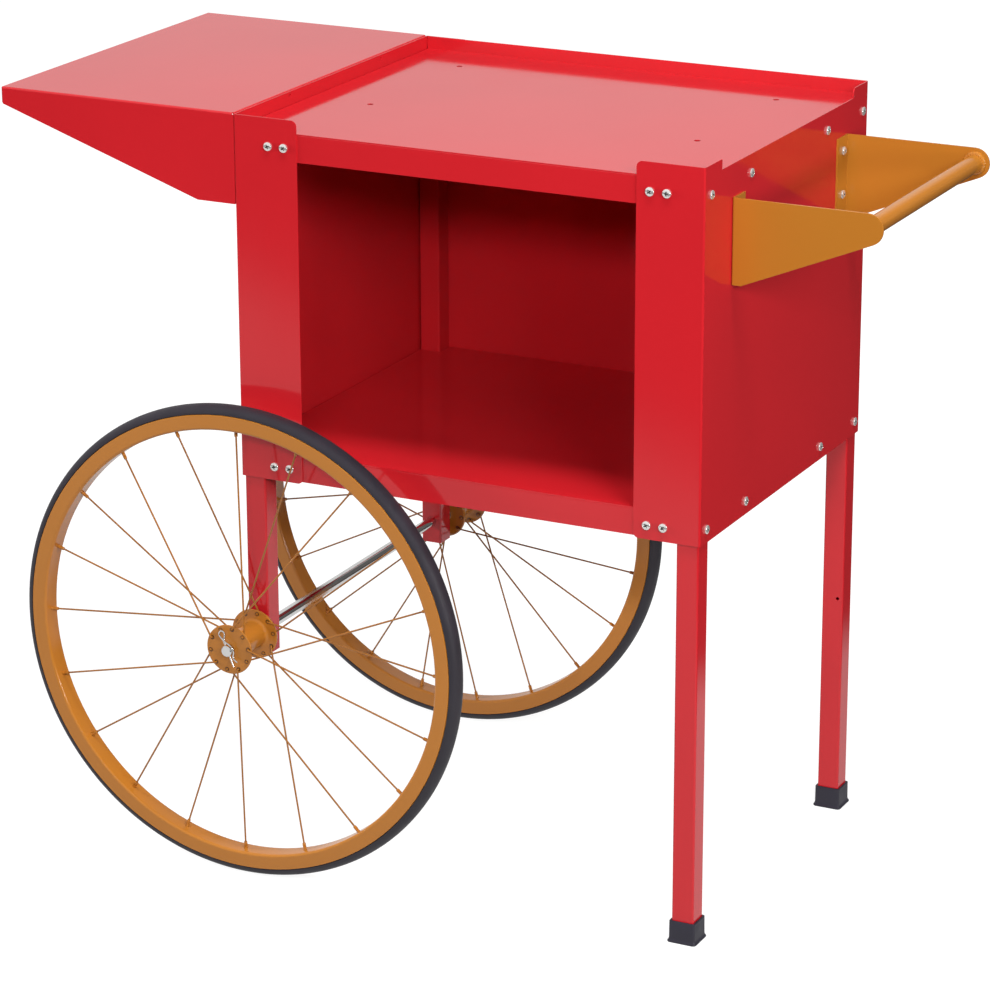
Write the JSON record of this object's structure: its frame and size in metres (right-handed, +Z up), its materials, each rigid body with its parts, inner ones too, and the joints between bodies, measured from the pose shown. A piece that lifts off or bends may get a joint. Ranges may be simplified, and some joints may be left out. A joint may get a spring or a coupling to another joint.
{
  "type": "popcorn machine cart",
  "caption": "Sheet-metal cart for a countertop popcorn machine: open-front cabinet, folded side tray, push handle, fixed feet at one end and large spoked wheels on one axle at the other.",
  "frame": {"origin": "on the floor under the centre of the whole cart", "axes": "+X from the side tray towards the push handle, +Y from the open front towards the back panel, +Z up"},
  "size_m": [1.0098, 0.587, 0.8611],
  "materials": {
    "red_coat": "high-gloss powder coat",
    "gold_coat": "glossy powder coat",
    "foot_rubber": "moulded satin",
    "tyre_rubber": "smooth satin",
    "polished_steel": "polished",
    "spring_wire": "bright drawn wire",
    "screw_steel": "bright plated",
    "zinc_plate": "zinc plated"
  },
  "bodies": {
    "cart_frame": {"left_side_panel": "red_coat", "right_side_panel": "red_coat", "back_panel": "red_coat", "table_top": "red_coat", "cabinet_shelf": "red_coat", "side_tray": "red_coat", "front_left_leg": "red_coat", "rear_left_leg": "red_coat", "front_right_leg": "red_coat", "rear_right_leg": "red_coat", "front_handle_bracket": "gold_coat", "rear_handle_bracket": "gold_coat", "grip_tube": "gold_coat", "grip_welds": "gold_coat", "front_right_foot": "foot_rubber", "rear_right_foot": "foot_rubber", "axle": "polished_steel", "front_retaining_clip": "spring_wire", "rear_retaining_clip": "spring_wire", "front_screws": "screw_steel", "left_screws": "screw_steel", "right_screws": "screw_steel", "back_screws": "screw_steel", "handle_screws": "screw_steel", "front_axle_spacer": "zinc_plate", "rear_axle_spacer": "zinc_plate", "front_nuts": "zinc_plate", "left_nuts": "zinc_plate", "right_nuts": "zinc_plate", "back_nuts": "zinc_plate", "handle_nuts": "zinc_plate"},
    "front_wheel": {"front_tyre": "tyre_rubber", "front_rim": "gold_coat", "front_hub": "gold_coat", "front_spokes": "gold_coat", "front_spoke_nipples": "gold_coat"},
    "rear_wheel": {"rear_tyre": "tyre_rubber", "rear_rim": "gold_coat", "rear_hub": "gold_coat", "rear_spokes": "gold_coat", "rear_spoke_nipples": "gold_coat"}
  },
  "joints": [
    {"name": "front_wheel_spin", "type": "hinge", "parent": "cart_frame", "child": "front_wheel", "pos_m": [-0.19475, -0.2603, 0.2735], "axis": [0, 1, 0], "continuous": true},
    {"name": "rear_wheel_spin", "type": "hinge", "parent": "cart_frame", "child": "rear_wheel", "pos_m": [-0.19475, 0.2603, 0.2735], "axis": [0, 1, 0], "continuous": true}
  ]
}
